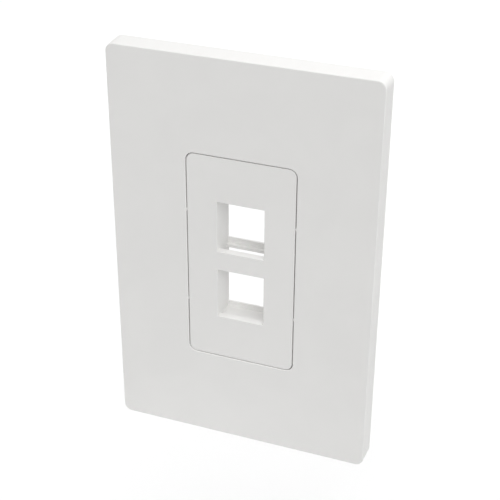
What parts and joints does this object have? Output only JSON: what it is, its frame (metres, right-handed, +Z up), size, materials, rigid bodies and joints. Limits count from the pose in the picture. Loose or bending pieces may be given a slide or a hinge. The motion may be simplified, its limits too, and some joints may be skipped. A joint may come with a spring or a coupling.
{
  "type": "keystone faceplate",
  "caption": "Screwless wall faceplate: a clip-on cover around a decorator insert with stacked keystone ports for network and audio-video jacks.",
  "frame": {"origin": "on the wall plane, midway between the two box screws", "axes": "+X to the right and +Z up as it hangs; the face looks along -Y and the wall box is on the +Y side"},
  "size_m": [0.0804, 0.0092, 0.1254],
  "materials": {
    "cover": "white satin moulded plastic",
    "insert": "white satin moulded plastic",
    "frame": "off-white moulded plastic",
    "screw": "zinc plated"
  },
  "bodies": {
    "root": {"cover_plate": "cover", "mounting_frame": "frame", "port_insert": "insert", "frame_screw_upper": "screw", "frame_screw_lower": "screw"}
  },
  "joints": []
}
